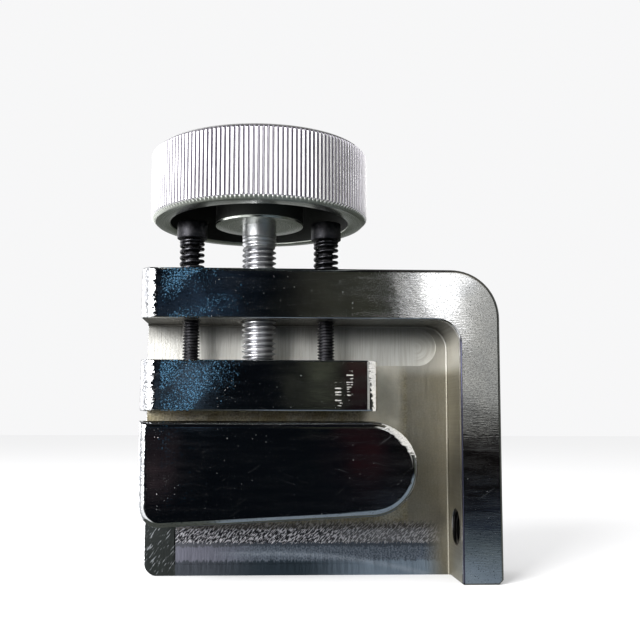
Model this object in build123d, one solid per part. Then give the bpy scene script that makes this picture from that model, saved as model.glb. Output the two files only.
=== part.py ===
from build123d import *
import math
import os

# Hand-screw press with a sprung moving jaw, in millimetres, +Z up.
# It is drawn round the main screw's axis, with Z = 0 at the bottom of the frame,
# and then moved so that the origin is the middle of the whole press at its foot.
# +X points to the closed side of the frame and -Y to its open front.

# Frame: one milled block with a top bar, a side wall, a back plate and the fixed jaw.
FRAME_LEFT = -26.4
FRAME_WIDTH = 81.0
FRAME_HEIGHT = 70.4
FRAME_FRONT = -7.2
POCKET_DEPTH = 14.4
PLATE_THICKNESS = 5.6
BAR_HEIGHT = 11.4
WALL_THICKNESS = 9.1
OUTER_CORNER = 11.0
POCKET_CORNER = 5.5
FOOT_CORNER = 3.0
HEEL_CHAMFER = 1.0
END_ROUNDING = 2.5
EDGE_ROUNDING = 0.8
POCKET_EDGE_ROUNDING = 0.3
FLOOR_FILLET = 0.5

# Fixed jaw: an island on the pocket floor with a half-round end.
FIXED_JAW_TOP = 36.0
FIXED_JAW_END_RADIUS = 10.6
FIXED_JAW_END_X = 25.3
FIXED_JAW_LOW = 12.2
FIXED_JAW_CORNER = 5.0
FIXED_JAW_ROUNDING = 1.6

# Tapped hole through the side wall, M8 x 1.25, that holds the press.
WALL_HOLE_Z = 11.9
WALL_HOLE_RADIUS = 3.4
WALL_HOLE_MOUTH_RADIUS = 4.3

# Shallow cutter tracks left on the pocket floor.
TRACK_DEPTH = 0.25
HIGH_TRACK_LOW_Z = 49.4
HIGH_TRACK_HEIGHT = 9.0
HIGH_TRACK_END_X = 42.8
LOW_TRACK_LOW_Z = 2.6
LOW_TRACK_HEIGHT = 8.0
LOW_TRACK_START_X = -19.5
LOW_TRACK_END_X = 39.2

# Moving jaw: a plain bar that slides on the pocket floor.
JAW_LENGTH = 53.3
JAW_HEIGHT = 11.4
JAW_GAP = 2.2
JAW_FLOOR_CLEARANCE = 0.1
JAW_ROUNDING = 0.4

# Main screw, M8 x 1.25, with its tip seated in the moving jaw.
MAIN_RADIUS = 3.95
MAIN_BORE_RADIUS = 4.0
MAIN_TIP_RADIUS = 2.8
SEAT_DEPTH = 0.8
SEAT_RADIUS = 2.9
SEAT_GAP = 0.02

# Lifting screws, M4 x 35 socket head, fixed in the moving jaw.
LIFT_SPACING = 31.2
LIFT_RADIUS = 2.0
LIFT_LENGTH = 35.0
LIFT_HEAD_Z = 78.2
LIFT_HEAD_RADIUS = 3.5
LIFT_HEAD_HEIGHT = 4.0
LIFT_HEAD_EDGE = 0.4
LIFT_SOCKET_RADIUS = 1.73
LIFT_SOCKET_DEPTH = 2.2
LIFT_BORE_RADIUS = 2.25
LIFT_TAP_SPARE = 1.2
LIFT_TAP_CLEARANCE = 0.02

# Lifting springs round those screws, between the bar and the heads.
SPRING_COIL_RADIUS = 2.5
SPRING_WIRE_RADIUS = 0.4
SPRING_TURNS = 6.0
SPRING_END_GAP = 0.02

# Knob: a knurled disc with a ring-shaped recess that clears the lifting screws.
KNOB_RADIUS = 25.0
KNURL_LOW_Z = 82.4
KNURL_HEIGHT = 14.6
KNURL_TEETH = 156
KNURL_DEPTH = 0.45
KNURL_CREST_SHARE = 0.6
KNOB_CHAMFER = 0.8
RECESS_OUTER_RADIUS = 20.65
RECESS_INNER_RADIUS = 10.2
RECESS_DEPTH = 9.0
BOSS_PROUD = 0.3
KNOB_SOCKET_DEPTH = 12.0
KNOB_SOCKET_CLEARANCE = 0.02

REACH = 5.0
TOLERANCE = 0.01

frame_right = FRAME_LEFT + FRAME_WIDTH
wall_inner = frame_right - WALL_THICKNESS
bar_under = FRAME_HEIGHT - BAR_HEIGHT
floor_y = FRAME_FRONT + POCKET_DEPTH
back_y = floor_y + PLATE_THICKNESS
jaw_low = FIXED_JAW_TOP + JAW_GAP
jaw_top = jaw_low + JAW_HEIGHT
seat_z = jaw_top - SEAT_DEPTH
lift_tip_z = LIFT_HEAD_Z - LIFT_LENGTH
rim_z = KNURL_LOW_Z - KNOB_CHAMFER
knob_top_z = KNURL_LOW_Z + KNURL_HEIGHT + KNOB_CHAMFER
boss_z = rim_z - BOSS_PROUD
socket_top_z = boss_z + KNOB_SOCKET_DEPTH
to_middle = Pos(-(FRAME_LEFT + frame_right) / 2, 0, 0)


def nearest_corner(outline, first, second):
    """The flat outline's vertex nearest to a point."""
    return outline.vertices().sort_by_distance((first, second, 0))[0]


def rectangle(left, low, right, high):
    """A flat rectangle from its corners."""
    middle = Pos((left + right) / 2, (low + high) / 2)
    return middle * Rectangle(right - left, high - low)


def slab(outline, front, back):
    """An outline drawn in X and Z, filled from Y = front to Y = back."""
    return extrude(Plane.XZ.offset(-back) * outline, amount=back - front)


def post(radius, low, high, x=0.0):
    """An upright cylinder on the screw plane."""
    return Pos(x, 0, (low + high) / 2) * Cylinder(radius, high - low)


def turned(points, x=0.0):
    """A solid of revolution about an upright axis, from its radius-height points."""
    profile = make_face(Polyline(*points, close=True))
    return Pos(x, 0, 0) * revolve(Plane.XZ * profile, Axis.Z)


def front_edges(solid):
    """The edges of a solid that lie in the front plane."""
    near, far = FRAME_FRONT - TOLERANCE, FRAME_FRONT + TOLERANCE
    return solid.edges().filter_by_position(Axis.Y, near, far)


def make_pocket():
    """The pocket's outline: open at the left and below, with one rounded corner."""
    pocket = rectangle(FRAME_LEFT - REACH, -REACH, wall_inner, bar_under)
    return fillet(nearest_corner(pocket, wall_inner, bar_under), POCKET_CORNER)


def make_cove():
    """The small inner rounding where the bar and the side wall rise from the floor."""
    sharp = slab(make_pocket(), floor_y - REACH, floor_y)
    near, far = floor_y - TOLERANCE, floor_y + TOLERANCE
    round_bottom = fillet(sharp.edges().filter_by_position(Axis.Y, near, far), FLOOR_FILLET)
    inside = rectangle(FRAME_LEFT, 0, frame_right, FRAME_HEIGHT)
    return (sharp - round_bottom) & slab(inside, FRAME_FRONT, back_y)


def on_pocket(edge):
    """True for an edge of the pocket's outline."""
    middle = edge.center()
    return middle.X < wall_inner + TOLERANCE and middle.Z < bar_under + TOLERANCE


def make_block():
    """The top bar, the side wall and the back plate, with their edges rounded."""
    outside = rectangle(FRAME_LEFT, 0, frame_right, FRAME_HEIGHT)
    outside = fillet(nearest_corner(outside, frame_right, FRAME_HEIGHT), OUTER_CORNER)
    outside = fillet(nearest_corner(outside, FRAME_LEFT, 0), FOOT_CORNER)
    outside = chamfer(nearest_corner(outside, frame_right, 0), HEEL_CHAMFER)
    block = slab(outside, FRAME_FRONT, back_y)
    block -= slab(make_pocket(), FRAME_FRONT - REACH, floor_y)
    left_end = front_edges(block).filter_by(Axis.Z).sort_by(Axis.X)[0]
    block = fillet(left_end, END_ROUNDING)
    seam = front_edges(block).filter_by(Axis.Z).sort_by(Axis.X)[0]
    rim = [edge for edge in front_edges(block) if edge != seam]
    block = fillet([edge for edge in rim if not on_pocket(edge)], EDGE_ROUNDING)
    inner = [edge for edge in front_edges(block).filter_by(on_pocket) if edge.length > REACH]
    return fillet(inner, POCKET_EDGE_ROUNDING) + make_cove()


def make_fixed_jaw():
    """The island: flat top, half-round right end, lower edge that falls to the left."""
    end_z = FIXED_JAW_TOP - FIXED_JAW_END_RADIUS
    end_low = (FIXED_JAW_END_X, end_z - FIXED_JAW_END_RADIUS)
    end_tip = (FIXED_JAW_END_X + FIXED_JAW_END_RADIUS, end_z)
    end_high = (FIXED_JAW_END_X, FIXED_JAW_TOP)
    left_high = (FRAME_LEFT, FIXED_JAW_TOP)
    left_low = (FRAME_LEFT, FIXED_JAW_LOW)
    edges = [
        Line(left_low, end_low),
        ThreePointArc(end_low, end_tip, end_high),
        Line(end_high, left_high),
        Line(left_high, left_low),
    ]
    outline = make_face(Wire(edges))
    outline = fillet(nearest_corner(outline, *left_low), FIXED_JAW_CORNER)
    island = slab(outline, FRAME_FRONT, floor_y + TRACK_DEPTH + TOLERANCE)
    return fillet(front_edges(island), FIXED_JAW_ROUNDING)


def track(left, low, right, height):
    """A shallow cutter track on the pocket floor with a half-round right end."""
    end_x = right - height / 2
    outline = rectangle(left, low, end_x, low + height)
    outline += Pos(end_x, low + height / 2) * Circle(height / 2)
    return slab(outline, floor_y - TOLERANCE, floor_y + TRACK_DEPTH)


def make_wall_hole():
    """The tapped hole's core and its two countersinks, along X."""
    sink = WALL_HOLE_MOUTH_RADIUS - WALL_HOLE_RADIUS
    points = [
        (0, -TOLERANCE),
        (WALL_HOLE_MOUTH_RADIUS + TOLERANCE, -TOLERANCE),
        (WALL_HOLE_RADIUS, sink),
        (WALL_HOLE_RADIUS, WALL_THICKNESS - sink),
        (WALL_HOLE_MOUTH_RADIUS + TOLERANCE, WALL_THICKNESS + TOLERANCE),
        (0, WALL_THICKNESS + TOLERANCE),
    ]
    return Pos(wall_inner, 0, WALL_HOLE_Z) * Rot(0, 90, 0) * turned(points)


def make_frame():
    """The block with the fixed jaw, the cutter tracks and every hole."""
    frame = make_block()
    high_start = FRAME_LEFT - REACH
    frame -= track(high_start, HIGH_TRACK_LOW_Z, HIGH_TRACK_END_X, HIGH_TRACK_HEIGHT)
    frame -= track(LOW_TRACK_START_X, LOW_TRACK_LOW_Z, LOW_TRACK_END_X, LOW_TRACK_HEIGHT)
    frame += make_fixed_jaw()
    low, high = bar_under - REACH, FRAME_HEIGHT + REACH
    frame -= post(MAIN_BORE_RADIUS, low, high)
    for x in (-LIFT_SPACING / 2, LIFT_SPACING / 2):
        frame -= post(LIFT_BORE_RADIUS, low, high, x)
    return frame - make_wall_hole()


def make_moving_jaw():
    """The sliding bar with the screw seat and two blind tapped holes."""
    outline = rectangle(FRAME_LEFT, jaw_low, FRAME_LEFT + JAW_LENGTH, jaw_top)
    jaw = slab(outline, FRAME_FRONT, floor_y - JAW_FLOOR_CLEARANCE)
    jaw = fillet(front_edges(jaw).filter_by(Axis.Z), END_ROUNDING)
    seams = front_edges(jaw).filter_by(Axis.Z)
    rim = [edge for edge in front_edges(jaw) if edge not in seams]
    jaw = fillet(rim, JAW_ROUNDING)
    jaw -= post(SEAT_RADIUS, seat_z, jaw_top + REACH)
    for x in (-LIFT_SPACING / 2, LIFT_SPACING / 2):
        tap_low = lift_tip_z - LIFT_TAP_SPARE
        jaw -= post(LIFT_RADIUS + LIFT_TAP_CLEARANCE, tap_low, jaw_top + REACH, x)
    return jaw


def make_main_screw():
    """The screw from its stepped tip in the jaw's seat to its upper end in the knob."""
    points = [
        (0, seat_z + SEAT_GAP),
        (MAIN_TIP_RADIUS, seat_z + SEAT_GAP),
        (MAIN_TIP_RADIUS, jaw_top),
        (MAIN_RADIUS, jaw_top + MAIN_RADIUS - MAIN_TIP_RADIUS),
        (MAIN_RADIUS, socket_top_z - SEAT_GAP),
        (0, socket_top_z - SEAT_GAP),
    ]
    return turned(points)


def make_lifting_screw(x):
    """A socket head screw with a hexagon socket in its head."""
    head_top = LIFT_HEAD_Z + LIFT_HEAD_HEIGHT
    points = [
        (0, lift_tip_z),
        (LIFT_RADIUS - LIFT_HEAD_EDGE, lift_tip_z),
        (LIFT_RADIUS, lift_tip_z + LIFT_HEAD_EDGE),
        (LIFT_RADIUS, LIFT_HEAD_Z),
        (LIFT_HEAD_RADIUS, LIFT_HEAD_Z),
        (LIFT_HEAD_RADIUS, head_top - LIFT_HEAD_EDGE),
        (LIFT_HEAD_RADIUS - LIFT_HEAD_EDGE, head_top),
        (0, head_top),
    ]
    socket_face = Pos(x, 0, head_top) * RegularPolygon(LIFT_SOCKET_RADIUS, 6)
    return turned(points, x) - extrude(socket_face, amount=-LIFT_SOCKET_DEPTH)


def make_spring(x):
    """A round-wire coil spring that stands on the bar."""
    low = FRAME_HEIGHT + SPRING_WIRE_RADIUS + SPRING_END_GAP
    high = LIFT_HEAD_Z - SPRING_WIRE_RADIUS - SPRING_END_GAP
    height = high - low
    path = Helix(height / SPRING_TURNS, height, SPRING_COIL_RADIUS)
    start = Plane(origin=path @ 0, z_dir=path % 0)
    wire = sweep(start * Circle(SPRING_WIRE_RADIUS), path=path)
    return Pos(x, 0, low) * wire


def knurl_outline():
    """The knob's toothed edge: flat crests with a V groove between them."""
    step = 2 * math.pi / KNURL_TEETH
    points = []
    for tooth in range(KNURL_TEETH):
        angles = (0, KNURL_CREST_SHARE, (1 + KNURL_CREST_SHARE) / 2)
        radii = (KNOB_RADIUS, KNOB_RADIUS, KNOB_RADIUS - KNURL_DEPTH)
        for part_of_step, radius in zip(angles, radii):
            angle = (tooth + part_of_step) * step
            points.append((radius * math.cos(angle), radius * math.sin(angle)))
    return make_face(Polyline(*points, close=True))


def make_knob():
    """The knurled disc, its chamfers, its ring recess, its boss and the screw socket."""
    small = KNOB_RADIUS - KNOB_CHAMFER
    disc = extrude(Pos(0, 0, rim_z) * knurl_outline(), amount=knob_top_z - rim_z)
    disc &= turned(
        [
            (0, rim_z),
            (small, rim_z),
            (KNOB_RADIUS, KNURL_LOW_Z),
            (KNOB_RADIUS, KNURL_LOW_Z + KNURL_HEIGHT),
            (small, knob_top_z),
            (0, knob_top_z),
        ]
    )
    recess_top = rim_z + RECESS_DEPTH
    disc -= post(RECESS_OUTER_RADIUS, rim_z - REACH, recess_top)
    disc += post(RECESS_INNER_RADIUS, boss_z, recess_top + TOLERANCE)
    socket_radius = MAIN_RADIUS + KNOB_SOCKET_CLEARANCE
    return disc - post(socket_radius, boss_z - REACH, socket_top_z)


nodes = {
    "frame": make_frame(),
    "moving_jaw": make_moving_jaw(),
    "main_screw": make_main_screw(),
    "knob": make_knob(),
    "left_lifting_screw": make_lifting_screw(-LIFT_SPACING / 2),
    "right_lifting_screw": make_lifting_screw(LIFT_SPACING / 2),
    "left_spring": make_spring(-LIFT_SPACING / 2),
    "right_spring": make_spring(LIFT_SPACING / 2),
}

os.makedirs("parts", exist_ok=True)
for name, solid in nodes.items():
    export_step(to_middle * solid, f"parts/{name}.step")
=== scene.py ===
import math

import bmesh
import bpy
import numpy as np
from mathutils import Matrix, Vector


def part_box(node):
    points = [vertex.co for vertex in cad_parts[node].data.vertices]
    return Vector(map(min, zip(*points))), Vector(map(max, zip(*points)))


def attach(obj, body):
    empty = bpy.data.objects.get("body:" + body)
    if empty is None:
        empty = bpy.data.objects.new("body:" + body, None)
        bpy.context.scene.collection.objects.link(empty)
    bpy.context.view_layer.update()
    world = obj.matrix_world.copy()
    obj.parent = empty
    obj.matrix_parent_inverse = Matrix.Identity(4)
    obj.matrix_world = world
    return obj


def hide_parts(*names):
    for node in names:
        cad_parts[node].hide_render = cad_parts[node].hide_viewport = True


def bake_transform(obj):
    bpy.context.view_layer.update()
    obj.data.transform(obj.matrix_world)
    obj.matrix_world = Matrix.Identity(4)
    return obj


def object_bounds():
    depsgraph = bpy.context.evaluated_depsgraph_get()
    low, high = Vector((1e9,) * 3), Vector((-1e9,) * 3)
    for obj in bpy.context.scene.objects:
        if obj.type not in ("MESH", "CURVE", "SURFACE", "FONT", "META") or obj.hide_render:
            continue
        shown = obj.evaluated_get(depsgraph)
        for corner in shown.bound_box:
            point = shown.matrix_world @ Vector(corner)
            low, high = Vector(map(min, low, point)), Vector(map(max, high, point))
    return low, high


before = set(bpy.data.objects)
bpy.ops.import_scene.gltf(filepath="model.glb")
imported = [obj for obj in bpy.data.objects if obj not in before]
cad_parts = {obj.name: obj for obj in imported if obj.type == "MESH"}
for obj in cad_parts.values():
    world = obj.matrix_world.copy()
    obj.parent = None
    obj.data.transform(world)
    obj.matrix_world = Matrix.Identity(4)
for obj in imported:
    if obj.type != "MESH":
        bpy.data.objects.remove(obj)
cad_low, cad_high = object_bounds()

# Sizes in metres, then shares and counts. Places come from the CAD nodes' boxes.
MM = 0.001
TINY = 1e-6
MAIN_PITCH = 0.00125
LIFT_PITCH = 0.0007
SHANK_LENGTH = 0.0027
COLLAR_LENGTH = 0.0020
TIP_RADIUS = 0.0028
HEAD_EDGE = 0.0004
SOCKET_ACROSS = 0.0030
SOCKET_DEPTH = 0.0022
WIRE_RADIUS = 0.00038
KNURL_DEPTH = 0.0006
KNOB_CHAMFER = 0.0010
KNOB_CORNER = 0.00015
SOCKET_CLEARANCE = 0.00002
SOCKET_TOP = 0.0120
RECESS_OUTER = 0.02065
RECESS_INNER = 0.0102
RECESS_DEPTH = 0.0090
BOSS_PROUD = 0.0003
WALL_THICKNESS = 0.0091
WALL_HOLE_Z = 0.0119
WALL_THREAD_RADIUS = 0.0040
CUTTER_EXTRA = 0.001
THREAD_DEPTH = 0.6134
THREAD_TO_HEAD = 4 / 7
COLLAR_GROOVE = 0.07
SOCKET_MOUTH = 1.04
CLOSED_COIL_SPACING = 1.01
SPRING_TURNS_LOW = 1.0
SPRING_TURNS_OPEN = 3.6
SPRING_TURNS_HIGH = 1.4
KNURL_TEETH = 156

# Points round a thread, a wire and the wall's thread, and along one turn of wire.
THREAD_COLUMNS = 96
WIRE_SIDES = 16
WALL_THREAD_COLUMNS = 64
WIRE_STEPS = 60

# Edges sharper than this many degrees stay sharp when shaded.
SHARP_THREAD = 40.0
SHARP_WIRE = 60.0
SHARP_KNOB = 35.0
SHARP_BLOCK = 35.0


# ------------------ mesh helpers


def grid_faces(rows, columns, shift=0):
    """Quads of a tube whose columns wrap; shift joins the wrap to a row further on."""
    faces = []
    for row in range(rows - 1):
        for column in range(columns):
            step = shift if column == columns - 1 else 0
            if row + 1 + step >= rows:
                continue
            across = (column + 1) % columns
            here = row * columns + column
            beside = (row + step) * columns + across
            faces.append((here, beside, beside + columns, here + columns))
    return faces


def add_to_scene(thing):
    """Links an object to the scene."""
    bpy.context.scene.collection.objects.link(thing)


def mesh_from(name, points, faces):
    """A bmesh from a list of points and faces."""
    data = bpy.data.meshes.new(name)
    data.from_pydata([tuple(p) for p in points], [], faces)
    made = bmesh.new()
    made.from_mesh(data)
    bpy.data.meshes.remove(data)
    return made


def piece_from(made, name, material, smooth_angle):
    """A finished object from a bmesh, with outward normals and sharp corners kept."""
    bmesh.ops.recalc_face_normals(made, faces=made.faces)
    limit = math.radians(smooth_angle)
    for face in made.faces:
        face.smooth = True
    for edge in made.edges:
        if len(edge.link_faces) == 2:
            edge.smooth = edge.calc_face_angle(0.0) < limit
    data = bpy.data.meshes.new(name)
    made.to_mesh(data)
    made.free()
    piece = bpy.data.objects.new(name, data)
    add_to_scene(piece)
    data.materials.append(material)
    return piece


def cap_open_ends(made):
    """Closes every open loop with one face."""
    open_edges = [edge for edge in made.edges if edge.is_boundary]
    bmesh.ops.holes_fill(made, edges=open_edges, sides=0)


def cut_flat(made, point, direction, drop_beyond=False):
    """Cuts a bmesh along a plane, and may drop what lies beyond it."""
    bmesh.ops.bisect_plane(
        made,
        geom=made.verts[:] + made.edges[:] + made.faces[:],
        plane_co=point,
        plane_no=direction,
        clear_outer=drop_beyond,
        dist=TINY * 0.01,
    )


def ring_points(z, columns, radius_at):
    """Points round the axis at one height; radius_at(angle) gives each radius."""
    points = []
    for column in range(columns):
        angle = 2 * math.pi * column / columns
        radius = radius_at(angle)
        points.append((radius * math.cos(angle), radius * math.sin(angle), z))
    return points


def place_on_axis(piece, node):
    """Moves a piece drawn round the Z axis to the middle of its CAD node's box."""
    low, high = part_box(node)
    piece.location = ((low.x + high.x) / 2, (low.y + high.y) / 2, 0)


def stand_for(piece, node, body=None):
    """Hides the CAD node that a piece stands for, and hangs the piece on its body if one is
    given.
    """
    if body:
        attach(piece, body)
    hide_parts(node)
    return piece


# ------------------ the threads

# One pitch of a metric thread: share of the pitch, share of the depth.
THREAD_PROFILE = [
    (0.000, 0.00),
    (0.125, 0.00),
    (0.230, 0.33),
    (0.335, 0.67),
    (0.440, 0.97),
    (0.500, 1.05),
    (0.625, 1.05),
    (0.685, 0.97),
    (0.790, 0.67),
    (0.895, 0.33),
]


def threaded_mesh(name, low, high, pitch, radius_at, columns=THREAD_COLUMNS):
    """A helical grid from low to high; radius_at(z, depth) gives each radius."""
    per_turn = len(THREAD_PROFILE)
    turns = int((high - low) / pitch) + 4
    points = []
    for row in range(turns * per_turn):
        share, depth = THREAD_PROFILE[row % per_turn]
        start = low + pitch * (row // per_turn - 2 + share)
        for column in range(columns):
            turn = column / columns
            z = start + pitch * turn
            radius = radius_at(z, depth * THREAD_DEPTH * pitch)
            angle = 2 * math.pi * turn
            points.append((radius * math.cos(angle), radius * math.sin(angle), z))
    made = mesh_from(name, points, grid_faces(turns * per_turn, columns, per_turn))
    cut_flat(made, (0, 0, low), (0, 0, -1), True)
    cut_flat(made, (0, 0, high), (0, 0, 1), True)
    return made


def fade(value, low, high):
    """Rises smoothly from 0 at low to 1 at high."""
    share = min(1.0, max(0.0, (value - low) / (high - low)))
    return share * share * (3 - 2 * share)


def make_main_screw(material):
    """The bright screw: stepped tip, thread, rounded collar and plain shank."""
    low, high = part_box("main_screw")
    jaw_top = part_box("moving_jaw")[1].z
    boss_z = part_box("knob")[0].z
    radius = (high.x - low.x) / 2
    shank_z = boss_z - SHANK_LENGTH
    collar_z = shank_z - COLLAR_LENGTH

    def radius_at(z, depth):
        if z >= shank_z:
            return radius
        if z >= collar_z:
            bump = abs(math.sin(2 * math.pi * (z - collar_z) / COLLAR_LENGTH))
            return radius * (1 - COLLAR_GROOVE * (1 - bump ** 0.5))
        if z < jaw_top:
            return TIP_RADIUS
        limit = TIP_RADIUS + z - jaw_top
        end = fade(z, collar_z - MAIN_PITCH, collar_z)
        return min(limit, radius - depth * (1 - end) - COLLAR_GROOVE * radius * end)

    made = threaded_mesh("main_screw_thread", low.z, high.z, MAIN_PITCH, radius_at)
    cap_open_ends(made)
    piece = piece_from(made, "main_screw_bright", material, SHARP_THREAD)
    place_on_axis(piece, "main_screw")
    return stand_for(piece, "main_screw", "spindle")


def hexagon_radius(angle, across):
    """How far a hexagon's edge is from its centre in a direction."""
    sixth = math.pi / 3
    off = (angle % sixth) - sixth / 2
    return across / 2 / math.cos(off)


def make_lifting_screw(node, material):
    """A black socket head screw with a full-length thread."""
    low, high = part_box(node)
    head_radius = (high.x - low.x) / 2
    radius = head_radius * THREAD_TO_HEAD
    # The head is as high as the thread is wide.
    head_z = high.z - radius * 2

    def radius_at(z, depth):
        limit = radius - HEAD_EDGE + (z - low.z)
        return min(limit, radius - depth)

    made = threaded_mesh(node, low.z, head_z, LIFT_PITCH, radius_at)
    shaft_top = [e for e in made.edges if e.is_boundary and e.verts[0].co.z > head_z - TINY]
    edge = HEAD_EDGE
    rings = [
        (head_radius - edge * 0.5, head_z),
        (head_radius - edge * 0.15, head_z + edge * 0.15),
        (head_radius, head_z + edge * 0.5),
        (head_radius, high.z - edge),
        (head_radius - edge * 0.3, high.z - edge * 0.3),
        (head_radius - edge, high.z),
    ]
    hexagons = [
        (SOCKET_ACROSS * SOCKET_MOUTH, high.z),
        (SOCKET_ACROSS, high.z - edge * 0.3),
        (SOCKET_ACROSS, high.z - SOCKET_DEPTH),
    ]
    points = []
    for ring_radius, z in rings:
        points += ring_points(z, THREAD_COLUMNS, lambda angle: ring_radius)
    for across, z in hexagons:
        points += ring_points(z, THREAD_COLUMNS, lambda angle: hexagon_radius(angle, across))
    head = [made.verts.new(point) for point in points]
    for face in grid_faces(len(rings) + len(hexagons), THREAD_COLUMNS):
        made.faces.new([head[corner] for corner in face])
    base = head[:THREAD_COLUMNS]
    head_base = [made.edges.get(pair) for pair in zip(base, base[1:] + base[:1])]
    bmesh.ops.bridge_loops(made, edges=shaft_top + head_base)
    cap_open_ends(made)
    piece = piece_from(made, node + "_black", material, SHARP_THREAD)
    place_on_axis(piece, node)
    return stand_for(piece, node, "jaw")


# ------------------ the springs


def make_spring(node, material):
    """A coil with closed ends."""
    low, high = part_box(node)
    coil_radius = (high.x - low.x) / 2 - WIRE_RADIUS
    foot, top = low.z + WIRE_RADIUS, high.z - WIRE_RADIUS
    closed = 2 * WIRE_RADIUS * CLOSED_COIL_SPACING
    open_low = foot + closed * SPRING_TURNS_LOW
    open_high = top - closed * SPRING_TURNS_HIGH
    knots = [0, SPRING_TURNS_LOW, SPRING_TURNS_LOW + SPRING_TURNS_OPEN]
    knots.append(knots[-1] + SPRING_TURNS_HIGH)
    heights = [foot, open_low, open_high, top]
    steps = int(knots[-1] * WIRE_STEPS)
    points, weights = [], []
    for step in range(steps + 1):
        turn = knots[-1] * step / steps
        angle = 2 * math.pi * turn
        z = float(np.interp(turn, knots, heights))
        out = Vector((math.cos(angle), math.sin(angle), 0))
        for corner in range(WIRE_SIDES):
            lean = 2 * math.pi * corner / WIRE_SIDES
            offset = out * (math.cos(lean) * WIRE_RADIUS)
            offset.z = math.sin(lean) * WIRE_RADIUS
            points.append(out * coil_radius + offset + Vector((0, 0, z)))
            weights.append((z - open_low) / (open_high - open_low))
    made = mesh_from(node, points, grid_faces(steps + 1, WIRE_SIDES))
    cap_open_ends(made)
    piece = piece_from(made, node + "_coil", material, SHARP_WIRE)
    place_on_axis(piece, node)
    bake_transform(piece)
    return stand_for(piece, node)


# ------------------ the knob

# One tooth of the knurl: share of the tooth's width, share of the groove's depth.
KNURL_PROFILE = [
    (0.00, 0.35),
    (0.08, 0.00),
    (0.28, -0.04),
    (0.48, 0.00),
    (0.56, 0.35),
    (0.70, 1.00),
    (0.86, 1.00),
]


def run_to(rings, radius, z, steps=6):
    """Adds evenly spaced rings from the last one to a new one."""
    last_radius, last_z = rings[-1]
    for step in range(1, steps + 1):
        share = step / steps
        next_radius = last_radius + (radius - last_radius) * share
        rings.append((next_radius, last_z + (z - last_z) * share))


def knob_rings(low, high, outer):
    """Radius and height of each corner of the turned shape, from the top to the socket."""
    rim_z = low.z + BOSS_PROUD
    recess_z = rim_z + RECESS_DEPTH
    small = outer - KNOB_CHAMFER
    edge = KNOB_CORNER
    screw_low, screw_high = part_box("main_screw")
    hole = (screw_high.x - screw_low.x) / 2 + SOCKET_CLEARANCE
    rings = [(TINY, high.z), (outer * 0.4, high.z), (small - edge, high.z)]
    rings.append((small, high.z - edge * 0.3))
    run_to(rings, outer, high.z - KNOB_CHAMFER)
    run_to(rings, outer, rim_z + KNOB_CHAMFER)
    run_to(rings, small, rim_z + edge * 0.3)
    rings += [
        (small - edge, rim_z),
        ((small + RECESS_OUTER) / 2, rim_z),
        (RECESS_OUTER + edge, rim_z),
        (RECESS_OUTER + edge * 0.3, rim_z + edge * 0.3),
        (RECESS_OUTER, rim_z + edge),
        (RECESS_OUTER, recess_z - edge * 3),
        (RECESS_OUTER - edge, recess_z - edge),
        (RECESS_OUTER - edge * 3, recess_z),
        (RECESS_INNER + edge * 3, recess_z),
        (RECESS_INNER + edge, recess_z - edge),
        (RECESS_INNER, recess_z - edge * 3),
        (RECESS_INNER, low.z + edge),
        (RECESS_INNER - edge * 0.3, low.z + edge * 0.3),
        (RECESS_INNER - edge, low.z),
        ((RECESS_INNER + hole) / 2, low.z),
        (hole, low.z),
        (hole, low.z + SOCKET_TOP),
        (TINY, low.z + SOCKET_TOP),
    ]
    return rings


def make_knob(material):
    """The turned and knurled knob, with every corner slightly broken."""
    low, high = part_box("knob")
    outer = (high.x - low.x) / 2
    rings = knob_rings(low, high, outer)
    per_tooth = len(KNURL_PROFILE)
    columns = KNURL_TEETH * per_tooth
    points = []
    for ring_radius, z in rings:
        for column in range(columns):
            tooth, part = divmod(column, per_tooth)
            share, depth = KNURL_PROFILE[part]
            angle = 2 * math.pi * (tooth + share) / KNURL_TEETH
            radius = min(ring_radius, outer - max(depth, 0) * KNURL_DEPTH)
            points.append((radius * math.cos(angle), radius * math.sin(angle), z))
    made = mesh_from("knob", points, grid_faces(len(rings), columns))
    bmesh.ops.remove_doubles(made, verts=made.verts, dist=TINY * 2)
    piece = piece_from(made, "knob_turned", material, SHARP_KNOB)
    place_on_axis(piece, "knob")
    return stand_for(piece, "knob", "spindle")


# ------------------ node helpers


# Most of a noise lies between these.
NOISE_MIDDLE = (0.3, 0.7)


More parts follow.
